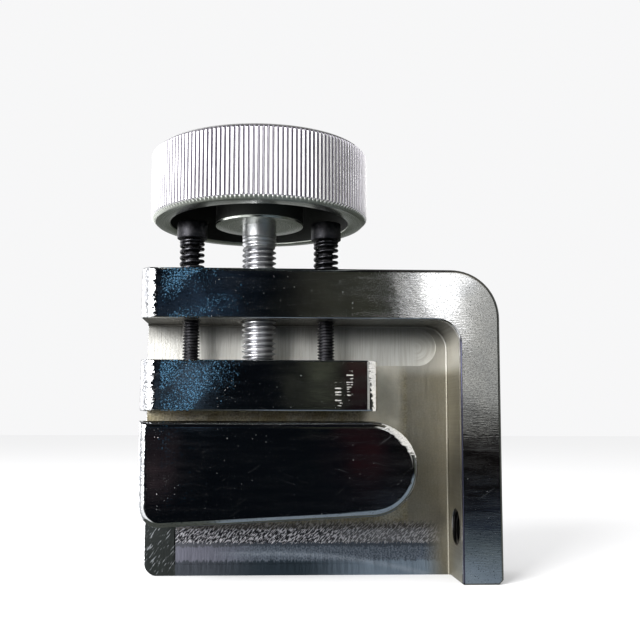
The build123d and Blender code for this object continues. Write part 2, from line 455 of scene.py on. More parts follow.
class Nodes:
    """A short way to write a shader tree: most calls add nodes and return an output."""

    def __init__(self, tree):
        self.tree = tree

    def add(self, kind, inputs=None, **settings):
        """A shader node; an input's value is a number, a vector, a colour or an output."""
        made = self.tree.nodes.new("ShaderNode" + kind)
        for key, value in settings.items():
            setattr(made, key, value)
        for key, value in (inputs or {}).items():
            socket = made.inputs[key]
            if isinstance(value, bpy.types.NodeSocket):
                self.tree.links.new(value, socket)
            elif socket.type == "RGBA":
                socket.default_value = (*value, 1)
            else:
                socket.default_value = value
        return made

    def math(self, operation, first, second=0.0):
        """One step of arithmetic."""
        return self.add("Math", {0: first, 1: second}, operation=operation).outputs[0]

    def times(self, first, *others):
        """A product of two or more values."""
        for other in others:
            first = self.math("MULTIPLY", first, other)
        return first

    def plus(self, first, second):
        """A sum."""
        return self.math("ADD", first, second)

    def less(self, first, second):
        """The first value less the second."""
        return self.math("SUBTRACT", first, second)

    def larger(self, first, second):
        """The larger of two values."""
        return self.math("MAXIMUM", first, second)

    def smaller(self, first, second):
        """The smaller of two values."""
        return self.math("MINIMUM", first, second)

    def distance(self, across, up):
        """How far a point is from the origin of its plane."""
        return self.math("SQRT", self.plus(self.times(across, across), self.times(up, up)))

    def pick(self, vector, axes):
        """The named parts of a vector or a colour, such as "xz"."""
        parts = self.add("SeparateXYZ", {0: vector}).outputs
        return [parts["xyz".index(axis)] for axis in axes]

    def join(self, x, y, z):
        """A vector from its parts."""
        return self.add("CombineXYZ", {0: x, 1: y, 2: z}).outputs[0]

    def rise(self, value, low, high, low_to=0.0, high_to=1.0):
        """Smoothly from low_to at low to high_to at high."""
        inputs = {"Value": value, "From Min": low, "From Max": high}
        inputs.update({"To Min": low_to, "To Max": high_to})
        made = self.add("MapRange", inputs, interpolation_type="SMOOTHSTEP")
        return made.outputs[0]

    def band(self, value, low, high, soft):
        """One between low and high, zero outside, with soft sides."""
        up = self.rise(value, low - soft, low + soft)
        down = self.rise(value, high - soft, high + soft, 1.0, 0.0)
        return self.times(up, down)

    def plain_noise(self, vector, scale, detail):
        """Noise; scale is how many cells a metre it has, for all the axes or for each one."""
        if isinstance(scale, tuple):
            vector = self.add("Mapping", {"Vector": vector, "Scale": scale}).outputs[0]
            scale = 1.0
        inputs = {"Vector": vector, "Scale": scale, "Detail": detail}
        return self.add("TexNoise", inputs).outputs["Fac"]

    def noise(self, vector, scale, detail=2.0, low=0.0, high=1.0):
        """Noise, with its middle part stretched to run from low to high."""
        return self.rise(self.plain_noise(vector, scale, detail), *NOISE_MIDDLE, low, high)

    def turned(self, vector, angle):
        """A place turned about the Y axis, so that marks on the front run aslant."""
        inputs = {"Vector": vector, "Rotation": (0, angle, 0)}
        return self.add("Mapping", inputs).outputs[0]

    def mix(self, share, first, second):
        """A colour mix."""
        inputs = {0: share, 6: first, 7: second}
        return self.add("Mix", inputs, data_type="RGBA").outputs[2]

    def blend(self, share, first, second):
        """A number mix."""
        return self.add("Mix", {0: share, 2: first, 3: second}).outputs[0]

    def blend_vectors(self, share, first, second):
        """A vector mix."""
        inputs = {0: share, 4: first, 5: second}
        return self.add("Mix", inputs, data_type="VECTOR").outputs[1]

    def choose(self, share, first, second):
        """A mix of two nodes' shaders."""
        inputs = {0: share, 1: first.outputs[0], 2: second.outputs[0]}
        return self.add("MixShader", inputs)

    def bump(self, height, strength, distance, normal=None):
        """A normal tilted by a height, on top of another normal if there is one."""
        inputs = {"Height": height, "Strength": strength, "Distance": distance}
        if normal is not None:
            inputs["Normal"] = normal
        return self.add("Bump", inputs).outputs[0]


def new_metal(name, build):
    """A metal whose colour, roughness and normal come from build(nodes, place)."""
    material = bpy.data.materials.new(name)
    material.use_nodes = True
    tree = material.node_tree
    nodes = Nodes(tree)
    shader = tree.nodes["Principled BSDF"]
    shader.inputs["Metallic"].default_value = 1.0
    place = nodes.add("TexCoord").outputs["Object"]
    colour, roughness, normal = build(nodes, place)
    for socket, value in (("Base Color", colour), ("Roughness", roughness), ("Normal", normal)):
        tree.links.new(value, shader.inputs[socket])
    return material


# ------------------ the materials

# Wear, in millimetres: widths, the round end's middle from the block's left side and foot,
# and distances from that middle. The moving jaw is above FIXED_JAW_LEVEL.
WORN_END = 3.7
WORN_FIXED = 1.9
WORN_RIGHT = 2.3
WORN_RIGHT_FOOT = 1.3
WORN_ARC = 8.75
WORN_ARC_OUTER = 10.35
ARC_FROM_LEFT = 51.7
ARC_MIDDLE = 25.4
FIXED_JAW_LEVEL = 37.5
# The worn slope grows with the square of the way in. A facet's outer limit is steep.
WORN_CURVE = 60.0
LIMIT_STEEPNESS = 8.0
# A reach that lies outside every worn place.
NOWHERE = -1.0 * MM
# The ways that worn facets face, and the normals' Y from which a face looks to the front.
RIGHT_LEAN = (0.09, -0.966, 0.245)
LEFT_LEAN = (-0.32, -0.946, 0.05)
FRONT_FACES = (-0.30, -0.42)
ROUNDED_FRONT_FACES = (-0.2, -0.5)

# The pocket, in millimetres: the cutter's tracks, the bar over them and the wall beside them.
TRACK_END = 64.3
TRACK_MIDDLE = 53.9
BAR_UNDERSIDE = 59.0
POCKET_FLOOR_Y = 7.2
WALL_EDGE_WIDTH = 0.32
HOLE_MOUTH = 4.25

# Scratches: slant in radians and how much they cover. Tool marks: slant and marks to a metre,
# along and across them. The haze has a slant only.
SCRATCHES = ((0.62, 0.05), (-0.35, 0.04))
CHOP_MARKS = (-0.75, 1000, 3400)
CROSS_MARKS = (-0.6, 450, 2800)
HAZE_SLANT = 0.7

# Linear colours, dark and light where there are two.
CHROME = (0.66, 0.67, 0.69), (0.76, 0.76, 0.76)
SATIN_GREY = (0.36, 0.36, 0.36)
HAZE_BLUE = (0.013, 0.031, 0.050)
FLOOR_PLATING = (0.31, 0.275, 0.185), (0.60, 0.57, 0.48)
FLOOR_CLOUD = (0.42, 0.40, 0.35)
FLOOR_GOLD = (0.52, 0.43, 0.22)
FLOOR_PIT = (0.13, 0.115, 0.085)
FLOOR_WALL_SHADE = (0.285, 0.27, 0.225)
FLOOR_BY_TRACK = (0.60, 0.585, 0.54)
FLOOR_SILVER_AND_LIGHT = (1.0, 0.96, 0.84)
UNDER_BAR_SHADE = (0.02, 0.02, 0.018)
TRACK_PLATING = (0.80, 0.78, 0.72), (0.95, 0.94, 0.89)
TRACK_UNDER_BAR_SHADE = (0.12, 0.11, 0.09)
STRIP_UNDER_JAW_SHADE = (0.10, 0.093, 0.088), (0.36, 0.34, 0.33)
STRIP_CHOPPED = (0.045, 0.044, 0.050), (0.85, 0.83, 0.87)
STRIP_CHOPPED_RIGHT = (0.30, 0.30, 0.31)
STRIP_SMOOTH = (0.09, 0.115, 0.15), (0.26, 0.295, 0.35)
STRIP_SMOOTH_LEFT = (0.27, 0.27, 0.33)
STRIP_LINE_LEFT, STRIP_LINE = (0.16, 0.165, 0.19), (0.095, 0.11, 0.135)
STRIP_FOOT_LEFT, STRIP_FOOT = (0.10, 0.11, 0.13), (0.045, 0.062, 0.078)
STRIP_FOOT_RIGHT = (0.30, 0.37, 0.45)
STRIP_STREAK = (0.50, 0.56, 0.64)
STRIP_MARGIN = (0.045, 0.050, 0.048), (0.42, 0.44, 0.46)
HOLE_SHADE = (0.045, 0.043, 0.042)
WALL_EDGE_SHADE = (0.05, 0.05, 0.08)
STEEL = (0.52, 0.53, 0.55), (0.62, 0.62, 0.63)
STEEL_ROOT_SHADE = (0.14, 0.14, 0.15)
BLACK_OXIDE = (0.030, 0.030, 0.034), (0.060, 0.059, 0.064)
DUST = (0.2, 0.19, 0.18)
ALUMINIUM = (0.80, 0.80, 0.79), (0.87, 0.87, 0.86)
KNOB_RIM = (0.56, 0.585, 0.53)
KNURL_GROOVE_SHADE = (0.25, 0.23, 0.28)
RECESS_SHADE = (0.05, 0.052, 0.048)


def specks(nodes, place, per_metre, size, amount):
    """Pits and dust on the front faces: one inside a speck."""
    x, z = nodes.pick(place, "xz")
    inputs = {"Vector": nodes.join(x, z, 0.0), "Scale": per_metre}
    cell = nodes.add("TexVoronoi", inputs, voronoi_dimensions="2D")
    chance, share = nodes.pick(cell.outputs["Color"], "xy")
    reach = nodes.rise(share, 0.0, 1.0, size * 0.4, size)
    near = nodes.math("LESS_THAN", cell.outputs["Distance"], reach)
    return nodes.times(near, nodes.math("LESS_THAN", chance, amount))


def hairlines(nodes, place, slant, share):
    """Long thin scratches in one direction: one on a scratch."""
    line = nodes.plain_noise(nodes.turned(place, slant), (110, 0, 5200), 1.0)
    return nodes.rise(line, 0.78 - share, 0.80 - share)


def strokes(nodes, place, slant, along, across):
    """Short slanted tool marks: high on a mark."""
    return nodes.noise(nodes.turned(place, slant), (across, 1, along))


def looks_forward(nodes, turning, turned):
    """Zero where a face's normal has the first Y, and one where it has the second."""
    true_normal = nodes.add("NewGeometry").outputs["True Normal"]
    return nodes.rise(nodes.pick(true_normal, "y")[0], turning, turned)


def worn_slope(nodes, place, reach):
    """A front face that falls away raggedly where reach is above zero, as a height."""
    reach = nodes.blend(looks_forward(nodes, *ROUNDED_FRONT_FACES), NOWHERE, reach)
    ragged = nodes.noise(place, (900, 900, 1500), 4.0, -0.3 * MM, 0.3 * MM)
    past = nodes.larger(nodes.plus(reach, ragged), 0.0)
    return nodes.times(past, past, -WORN_CURVE)


def worn_facet(nodes, place, reach, lean, normal):
    """One flat leaning facet with a ragged border, on front faces where reach is above zero."""
    ragged = nodes.noise(place, (900, 900, 2400), 4.0, -0.35 * MM, 0.35 * MM)
    share = nodes.rise(nodes.plus(reach, ragged), 0.0, 0.10 * MM)
    share = nodes.times(share, looks_forward(nodes, *FRONT_FACES))
    scuffs = nodes.noise(place, (700, 700, 3600), 3.0)
    facet = nodes.bump(scuffs, 0.25, 0.03 * MM, nodes.join(*lean))
    return nodes.blend_vectors(share, normal, facet)


def worn_left(nodes, place, left):
    """How far a place is within the worn left end of a front face."""
    x, z = nodes.pick(place, "xz")
    from_z, to_z = (FIXED_JAW_LEVEL - 0.5) * MM, (FIXED_JAW_LEVEL + 0.5) * MM
    width = nodes.rise(z, from_z, to_z, WORN_FIXED * MM, WORN_END * MM)
    return nodes.less(nodes.plus(width, left), x)


def worn_arc(nodes, place, left):
    """How far a place is within the worn upper part of the fixed jaw's round end."""
    x, z = nodes.pick(place, "xz")
    across = nodes.less(x, left + ARC_FROM_LEFT * MM)
    up = nodes.less(z, ARC_MIDDLE * MM)
    outer = nodes.less(WORN_ARC_OUTER * MM, nodes.distance(across, up))
    outer = nodes.times(outer, LIMIT_STEEPNESS)
    chord = nodes.times(nodes.plus(across, up), math.sqrt(0.5))
    chord = nodes.less(chord, WORN_ARC * MM)
    right_of_middle = nodes.rise(across, 0.0, 0.5 * MM)
    above_middle = nodes.rise(up, 0.0, 0.5 * MM)
    below_bar = nodes.rise(z, (FIXED_JAW_LEVEL + 0.5) * MM, FIXED_JAW_LEVEL * MM)
    left_of_wall = nodes.rise(across, 12.0 * MM, 11.8 * MM)
    inside = nodes.times(right_of_middle, above_middle, below_bar, left_of_wall)
    return nodes.blend(inside, NOWHERE, nodes.smaller(chord, outer))


def polished_plate(nodes, place, satin, worn):
    """Chrome over a linished surface; satin is how much of the linishing still shows."""
    coarse = specks(nodes, place, 430, 0.04, 0.05)
    fine = specks(nodes, place, 1300, 0.08, 0.09)
    fine = nodes.times(fine, nodes.noise(place, 90, 1.0))
    marks = nodes.larger(coarse, fine)
    hair = nodes.larger(*(hairlines(nodes, place, *scratch) for scratch in SCRATCHES))
    brushed = nodes.noise(place, (420, 420, 5200))
    grain = nodes.noise(place, (2200, 2200, 4800), 1.0)
    streak = nodes.noise(place, (90, 90, 900), 3.0)
    colour = nodes.mix(nodes.noise(place, 160), *CHROME)
    colour = nodes.mix(nodes.times(grain, satin, 0.6), colour, SATIN_GREY)
    rough = nodes.blend(streak, 0.045, 0.10)
    rough = nodes.blend(satin, rough, nodes.blend(grain, 0.06, 0.11))
    rough = nodes.blend(nodes.times(marks, 0.7), rough, 0.5)
    rough = nodes.blend(nodes.times(hair, 0.35), rough, 0.5)
    normal = nodes.bump(nodes.noise(place, 70, 1.0), 0.06, 0.5 * MM)
    normal = nodes.bump(brushed, nodes.blend(satin, 0.05, 0.12), 0.02 * MM, normal)
    normal = nodes.bump(marks, 0.3, 0.02 * MM, normal)
    normal = nodes.bump(worn_slope(nodes, place, worn), 1.0, 1.0, normal)
    return colour, rough, normal


def blue_haze(nodes, place, left, colour, normal):
    """Fine specks near the left end that catch the window, gathered in slanted patches."""
    x, z = nodes.pick(place, "xz")
    slanted = nodes.turned(place, HAZE_SLANT)
    patch = nodes.noise(slanted, (50, 1, 170), 3.0)
    patch = nodes.times(patch, nodes.rise(x, left + 34.0 * MM, left + 4.0 * MM))
    patch = nodes.times(patch, nodes.rise(x, left + 3.9 * MM, left + 5.0 * MM))
    above_fixed_jaw = nodes.rise(z, (FIXED_JAW_LEVEL - 1) * MM, FIXED_JAW_LEVEL * MM, 0.35, 1.0)
    patch = nodes.times(patch, above_fixed_jaw)
    fine = nodes.noise(slanted, (2300, 1, 5600))
    speck = nodes.plus(fine, nodes.times(patch, 0.52))
    tinted = nodes.times(nodes.rise(speck, 0.90, 0.98), looks_forward(nodes, *FRONT_FACES))
    inside = nodes.rise(speck, 0.94, 1.30, NOWHERE, 1.0 * MM)
    normal = worn_facet(nodes, place, inside, LEFT_LEAN, normal)
    return nodes.mix(tinted, colour, HAZE_BLUE), normal


def high_track(nodes, place, left, colour):
    """The bright cutter track behind the moving jaw, with arcs at its round end."""
    x, y, z = nodes.pick(place, "xyz")
    from_x = nodes.less(x, left + TRACK_END * MM)
    from_z = nodes.less(z, TRACK_MIDDLE * MM)
    field = nodes.join(nodes.distance(from_x, from_z), nodes.times(from_z, 0.15), 0.0)
    arcs = nodes.noise(field, 1500)
    lines = nodes.noise(place, (2000, 1, 90))
    lines = nodes.blend(nodes.rise(from_x, -1.0 * MM, 1.0 * MM), lines, arcs)
    plating = nodes.mix(lines, *TRACK_PLATING)
    # Painted shade: the track darkens towards the bar above it, more to the right.
    shade = nodes.rise(from_z, 5.0 * MM, -2.5 * MM, 0.35, 0.0)
    to_right = nodes.rise(x, left + 20 * MM, left + 45 * MM)
    plating = nodes.mix(nodes.times(shade, to_right), plating, TRACK_UNDER_BAR_SHADE)
    cut_deeper = nodes.rise(y, (POCKET_FLOOR_Y + 0.06) * MM, (POCKET_FLOOR_Y + 0.22) * MM)
    above_low_track = nodes.rise(z, 30.0 * MM, 31.0 * MM)
    return nodes.mix(nodes.times(cut_deeper, above_low_track), colour, plating)


def curved_streak(nodes, x, z, left):
    """A light streak along the foot that bends down to the right: one on it."""
    from_bend = nodes.larger(nodes.less(x, left + 30 * MM), 0.0)
    drop = nodes.times(from_bend, from_bend, 3.6)
    off_streak = nodes.plus(nodes.less(z, 4.9 * MM), drop)
    return nodes.band(off_streak, -0.3 * MM, 0.4 * MM, 0.7 * MM)


def low_strip(nodes, place, left, colour):
    """The chopped, smooth and dark strips along the foot of the plate."""
    x, z = nodes.pick(place, "xz")
    along = nodes.rise(x, left + 12 * MM, left + 30 * MM)
    right = nodes.rise(x, left + 36 * MM, left + 56 * MM)
    ragged = nodes.noise(place, (2400, 1, 700), 2.0, -0.35 * MM, 0.35 * MM)
    marks = nodes.rise(strokes(nodes, place, *CHOP_MARKS), 0.38, 0.85)
    fine = nodes.noise(place, (2600, 1, 2200))
    chopped = nodes.mix(marks, *STRIP_CHOPPED)
    chopped = nodes.mix(nodes.times(right, 0.5), chopped, STRIP_CHOPPED_RIGHT)
    smooth = nodes.mix(along, STRIP_SMOOTH_LEFT, nodes.mix(fine, *STRIP_SMOOTH))
    foot = nodes.mix(along, STRIP_FOOT_LEFT, STRIP_FOOT)
    # Each strip starts below the first height, in millimetres, and is full at the second.
    strips = [
        # The first strip, just under the fixed jaw, is painted shade: the jaw's contact shadow,
        # with tool marks in it.
        (13.2, 11.4, nodes.mix(marks, *STRIP_UNDER_JAW_SHADE)),
        (11.0, 10.4, chopped),
        (7.6, 7.3, nodes.mix(along, STRIP_LINE_LEFT, STRIP_LINE)),
        (6.8, 6.5, smooth),
        (3.6, 3.0, nodes.mix(right, foot, STRIP_FOOT_RIGHT)),
    ]
    level = nodes.plus(z, ragged)
    for start, full, shade in strips:
        colour = nodes.mix(nodes.rise(level, start * MM, full * MM), colour, shade)
    streak = nodes.times(curved_streak(nodes, x, z, left), along)
    streak = nodes.times(streak, nodes.blend(fine, 0.45, 0.85))
    colour = nodes.mix(streak, colour, STRIP_STREAK)
    cross = nodes.rise(strokes(nodes, place, *CROSS_MARKS), 0.80, 1.0)
    beside = nodes.rise(x, left + 7.3 * MM, left + 7.1 * MM)
    margin = nodes.times(beside, nodes.rise(z, 14.0 * MM, 12.0 * MM))
    return nodes.mix(margin, colour, nodes.mix(cross, *STRIP_MARGIN))


def milled_floor(nodes, place):
    """The pocket floor: satin plating over cutter marks, two tracks and a chopped foot."""
    x, z = nodes.pick(place, "xz")
    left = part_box("frame")[0].x
    mottle = nodes.noise(place, (210, 210, 273), 3.0)
    golden = nodes.noise(place, (330, 0, 528), 3.0)
    speckle = nodes.noise(place, (2300, 0, 2300), 3.0)
    cloud = nodes.noise(place, 75)
    # Painted shade in the corner: the floor next to the side wall is darker.
    wall_shade = nodes.rise(x, left + 61.5 * MM, left + 62.5 * MM)
    by_track = nodes.rise(z, (TRACK_MIDDLE - 7.5) * MM, (TRACK_MIDDLE - 4.3) * MM)
    # A silvery patch right of the moving jaw, which is also painted light that lifts the jaw's
    # shadow on the floor.
    silver_and_light = nodes.band(x, left + 52.0 * MM, left + 60.5 * MM, 1.5 * MM)
    silver_and_light = nodes.times(silver_and_light, nodes.band(z, 33.0 * MM, 50.0 * MM, 3.0 * MM))
    colour = nodes.mix(mottle, *FLOOR_PLATING)
    colour = nodes.mix(nodes.times(cloud, 0.5), colour, FLOOR_CLOUD)
    colour = nodes.mix(nodes.times(golden, 0.4), colour, FLOOR_GOLD)
    colour = nodes.mix(nodes.times(speckle, 0.6), colour, FLOOR_PIT)
    colour = nodes.mix(nodes.times(wall_shade, 0.8), colour, FLOOR_WALL_SHADE)
    colour = nodes.mix(nodes.times(by_track, 0.75), colour, FLOOR_BY_TRACK)
    silver_and_light = nodes.times(silver_and_light, nodes.blend(mottle, 0.7, 1.0))
    colour = nodes.mix(silver_and_light, colour, FLOOR_SILVER_AND_LIGHT)
    colour = high_track(nodes, place, left, colour)
    # Painted shade: the floor darkens towards the bar's underside, where the bar's shadow
    # falls.
    low_z, high_z = (BAR_UNDERSIDE - 5.5) * MM, (BAR_UNDERSIDE - 0.2) * MM
    colour = nodes.mix(nodes.rise(z, high_z, low_z, 0.30, 1.0), UNDER_BAR_SHADE, colour)
    on_plate = nodes.rise(x, left + 71.0 * MM, left + 65.5 * MM)
    colour = nodes.mix(on_plate, colour, low_strip(nodes, place, left, colour))
    lines = nodes.noise(place, (3000, 1, 170))
    chopped = nodes.band(z, 7.4 * MM, 11.4 * MM, 0.4 * MM)
    chops = nodes.times(strokes(nodes, place, *CHOP_MARKS), nodes.blend(chopped, 0.3, 2.5))
    height = nodes.plus(nodes.plus(lines, chops), speckle)
    return colour, nodes.blend(lines, 0.40, 0.54), nodes.bump(height, 0.35, 0.02 * MM)


def satin_share(nodes, place, low, high):
    """How satin the frame is: all of its outer faces, and the right of its upper front."""
    x, y, z = nodes.pick(place, "xyz")
    ragged = nodes.noise(place, 900, 2.0, -0.6 * MM, 0.6 * MM)
    right = nodes.rise(x, low.x + 44 * MM, low.x + 64 * MM)
    satin = nodes.times(right, nodes.rise(nodes.plus(z, ragged), 31.5 * MM, 33.5 * MM))
    for part, side in ((y, high.y), (x, high.x), (z, high.z)):
        satin = nodes.larger(satin, nodes.rise(part, side - 0.3 * MM, side - 0.1 * MM))
    return satin


def inside_pocket(nodes, place, low, high):
    """One on the pocket's floor and on its inner sides, zero on the polished faces."""
    x, y, z = nodes.pick(place, "xyz")
    behind_front = nodes.band(y, low.y + 1.65 * MM, low.y + 15.0 * MM, 0.1 * MM)
    wall_x = high.x - 9.0 * MM
    left_of_wall = nodes.rise(x, wall_x, wall_x - 0.05 * MM)
    within_end = nodes.rise(x, low.x + 0.05 * MM, low.x + 0.1 * MM)
    under_bar = nodes.rise(z, (BAR_UNDERSIDE + 0.15) * MM, (BAR_UNDERSIDE + 0.1) * MM)
    return nodes.times(behind_front, left_of_wall, within_end, under_bar)


def frame_plating(nodes, place):
    """Polished in front, milled in the pocket and satin on the outer faces."""
    low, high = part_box("frame")
    x, y, z = nodes.pick(place, "xyz")
    satin = satin_share(nodes, place, low, high)
    worn = worn_left(nodes, place, low.x)
    colour, rough, normal = polished_plate(nodes, place, satin, worn)
    colour, normal = blue_haze(nodes, place, low.x, colour, normal)
    arc = worn_arc(nodes, place, low.x)
    normal = worn_facet(nodes, place, arc, RIGHT_LEAN, normal)
    pocket = inside_pocket(nodes, place, low, high)
    floor_colour, floor_rough, floor_normal = milled_floor(nodes, place)
    colour = nodes.mix(pocket, colour, floor_colour)
    rough = nodes.blend(pocket, rough, floor_rough)
    normal = nodes.blend_vectors(pocket, normal, floor_normal)
    # Painted shade: the inside of the wall's tapped hole is darker.
    off_axis = nodes.distance(nodes.less(z, WALL_HOLE_Z), y)
    in_hole = nodes.rise(off_axis, HOLE_MOUTH * MM, (HOLE_MOUTH - 0.15) * MM)
    in_hole = nodes.times(in_hole, nodes.rise(x, high.x - 9.08 * MM, high.x - 9.0 * MM))
    colour = nodes.mix(in_hole, colour, HOLE_SHADE)
    rough = nodes.blend(in_hole, rough, 0.3)
    # Painted shade: the rounding along the wall's inner edge is painted dark blue so that it
    # shows no bright reflection of the window.
    wall_x = high.x - WALL_THICKNESS
    edge = nodes.band(x, wall_x - 0.1 * MM, wall_x + WALL_EDGE_WIDTH * MM, 0.02 * MM)
    edge = nodes.times(edge, nodes.rise(y, low.y + 0.5 * MM, low.y + 0.4 * MM))
    edge = nodes.times(edge, nodes.rise(z, 56.0 * MM, 54.0 * MM))
    return nodes.mix(edge, colour, WALL_EDGE_SHADE), rough, normal


def row_of_dents(nodes, place, middle, low_z, high_z):
    """One inside an upright row on the moving jaw's front."""
    x, z = nodes.pick(place, "xz")
    across = nodes.band(x, middle - 0.8 * MM, middle + 0.8 * MM, 0.3 * MM)
    return nodes.times(across, nodes.band(z, low_z, high_z, 0.2 * MM))


def jaw_plating(nodes, place):
    """Polished on the front and satin on the sides that slide."""
    low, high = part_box("moving_jaw")
    x, y, z = nodes.pick(place, "xyz")
    side = nodes.rise(y, low.y + 0.8 * MM, low.y + 1.0 * MM)
    worn = worn_left(nodes, place, low.x)
    colour, rough, normal = polished_plate(nodes, place, side, worn)
    colour, normal = blue_haze(nodes, place, low.x, colour, normal)
    width = nodes.rise(z, low.z, high.z, WORN_RIGHT_FOOT * MM, WORN_RIGHT * MM)
    right_end = nodes.less(nodes.plus(width, x), high.x)
    outer = nodes.times(nodes.less(high.x - 0.5 * MM, x), LIMIT_STEEPNESS)
    right_end = nodes.smaller(right_end, outer)
    normal = worn_facet(nodes, place, right_end, RIGHT_LEAN, normal)
    dents = nodes.noise(place, (300, 1, 2300), 1.0, NOWHERE, 0.38 * MM)
    left_x, right_x = low.x + 44.2 * MM, low.x + 46.8 * MM
    left_row = row_of_dents(nodes, place, left_x, low.z + 1.0 * MM, low.z + 6.8 * MM)
    right_row = row_of_dents(nodes, place, right_x, low.z + 3.0 * MM, low.z + 9.2 * MM)
    dented = nodes.blend(nodes.larger(left_row, right_row), NOWHERE, dents)
    return colour, rough, worn_facet(nodes, place, dented, RIGHT_LEAN, normal)


def turned_steel(nodes, place):
    """Bright rolled steel, with painted shade in the thread's roots."""
    low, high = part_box("main_screw")
    outer = (high.x - low.x) / 2
    across = nodes.distance(*nodes.pick(place, "xy"))
    # Painted shade: the thread's roots are darker.
    root_shade = nodes.rise(across, outer - 0.42 * MM, outer - 0.60 * MM)
    rings = nodes.noise(place, (300, 300, 5000))
    colour = nodes.mix(nodes.noise(place, 700, 3.0), *STEEL)
    colour = nodes.mix(nodes.times(root_shade, 0.75), colour, STEEL_ROOT_SHADE)
    return colour, nodes.blend(rings, 0.34, 0.42), nodes.bump(rings, 0.05, 0.01 * MM)


def spring_wire(nodes, place):
    """Blackened wire with a slight sheen and dust."""
    dust = specks(nodes, place, 2600, 0.3, 0.12)
    patch = nodes.noise(place, 900, 3.0)
    colour = nodes.mix(patch, *BLACK_OXIDE)
    colour = nodes.mix(nodes.times(dust, 0.3), colour, DUST)
    return colour, nodes.blend(patch, 0.26, 0.38), nodes.bump(patch, 0.15, 0.01 * MM)


def black_oxide(nodes, place):
    """Blackened steel, duller than the wire."""
    colour, rough, normal = spring_wire(nodes, place)
    return colour, nodes.plus(rough, 0.16), normal


def knob_finish(nodes, place):
    """Satin aluminium; the knurl's grooves and the ring recess are painted dark as shade."""
    low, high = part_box("knob")
    outer = (high.x - low.x) / 2
    z = nodes.pick(place, "z")[0]
    across = nodes.distance(*nodes.pick(place, "xy"))
    grain = nodes.noise(place, 4500)
    turning = nodes.noise(nodes.join(across, 0.0, 0.0), 9000, 1.0)
    # Painted shade in the knurl's grooves.
    groove_shade = nodes.rise(across, outer - 0.005 * MM, outer - 0.06 * MM)
    on_side = nodes.band(z, low.z + 1.25 * MM, high.z - 0.4 * MM, 0.1 * MM)
    rim = nodes.rise(z, low.z + 1.2 * MM, low.z + 0.9 * MM)
    face = nodes.rise(z, low.z + 0.5 * MM, low.z + 0.4 * MM)
    recess_top = low.z + RECESS_DEPTH + 1.0 * MM
    # Painted shade: the ring recess under the knob is painted near-black.
    recess = nodes.band(across, RECESS_INNER - 0.05 * MM, RECESS_OUTER + 0.1 * MM, 0.02 * MM)
    recess = nodes.times(recess, nodes.band(z, low.z + 0.55 * MM, recess_top, 0.05 * MM))
    colour = nodes.mix(nodes.noise(place, 150), *ALUMINIUM)
    colour = nodes.mix(rim, colour, KNOB_RIM)
    colour = nodes.mix(nodes.times(groove_shade, on_side, 0.85), colour, KNURL_GROOVE_SHADE)
    colour = nodes.mix(recess, colour, RECESS_SHADE)
    rough = nodes.blend(grain, 0.42, 0.52)
    rough = nodes.blend(face, rough, nodes.blend(turning, 0.22, 0.34))
    rough = nodes.blend(recess, rough, 0.6)
    return colour, rough, nodes.bump(nodes.blend(face, grain, turning), 0.2, 0.01 * MM)


# ------------------ pieces from CAD meshes

# Cuts in millimetres from an end. Faces that meet at less than FLAT_ANGLE degrees are one.
BLOCK_CUTS = (1.7, 2.6)
BAR_CUT = 2.6
FLAT_ANGLE = 0.05


def wall_thread_cutter():
    """A threaded rod that stands where the wall's tapped hole is."""
    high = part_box("frame")[1]
    low_x = high.x - WALL_THICKNESS - CUTTER_EXTRA
    length = WALL_THICKNESS + 2 * CUTTER_EXTRA

    def radius_at(z, depth):
        return WALL_THREAD_RADIUS - depth

    made = threaded_mesh("wall_thread", 0, length, MAIN_PITCH, radius_at, WALL_THREAD_COLUMNS)
    cap_open_ends(made)
    bmesh.ops.recalc_face_normals(made, faces=made.faces)
    data = bpy.data.meshes.new("wall_thread")
    made.to_mesh(data)
    made.free()
    cutter = bpy.data.objects.new("wall_thread", data)
    add_to_scene(cutter)
    turn = Matrix.Rotation(math.pi / 2, 4, "Y")
    cutter.matrix_world = Matrix.Translation((low_x, 0, WALL_HOLE_Z)) @ turn
    return cutter


def cut_by(made, cutter):
    """The bmesh less the cutter, which is removed."""
    data = bpy.data.meshes.new("uncut")
    made.to_mesh(data)
    made.free()
    uncut = bpy.data.objects.new("uncut", data)
    add_to_scene(uncut)
    change = uncut.modifiers.new("cut", "BOOLEAN")
    change.operation = "DIFFERENCE"
    change.solver = "EXACT"
    change.object = cutter
    shaped = uncut.evaluated_get(bpy.context.evaluated_depsgraph_get()).to_mesh()
    cut = bmesh.new()
    cut.from_mesh(shaped)
    for used in (uncut, cutter):
        mesh = used.data
        bpy.data.objects.remove(used)
        bpy.data.meshes.remove(mesh)
    return cut


def refined_copy(node, name, material, cuts, cutter=None):
    """The CAD mesh with closed seams; cuts across X part a long face from its smooth ends."""
    made = bmesh.new()
    made.from_mesh(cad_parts[node].data)
    bmesh.ops.remove_doubles(made, verts=made.verts, dist=TINY * 0.1)
    flat = math.radians(FLAT_ANGLE)
    bmesh.ops.dissolve_limit(made, angle_limit=flat, verts=made.verts, edges=made.edges)
    for x in cuts:
        cut_flat(made, (x, 0, 0), (1, 0, 0))
    if cutter:
        made = cut_by(made, cutter)
    piece = piece_from(made, name, material, SHARP_BLOCK)
    weighted = piece.modifiers.new("flat_faces", "WEIGHTED_NORMAL")
    weighted.keep_sharp = True
    weighted.weight = 100
    return piece


def make_block(material):
    """The frame with its tapped hole, cut twice near its left side."""
    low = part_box("frame")[0]
    cuts = [low.x + inset * MM for inset in BLOCK_CUTS]
    piece = refined_copy("frame", "frame_block", material, cuts, wall_thread_cutter())
    return stand_for(piece, "frame", "frame")


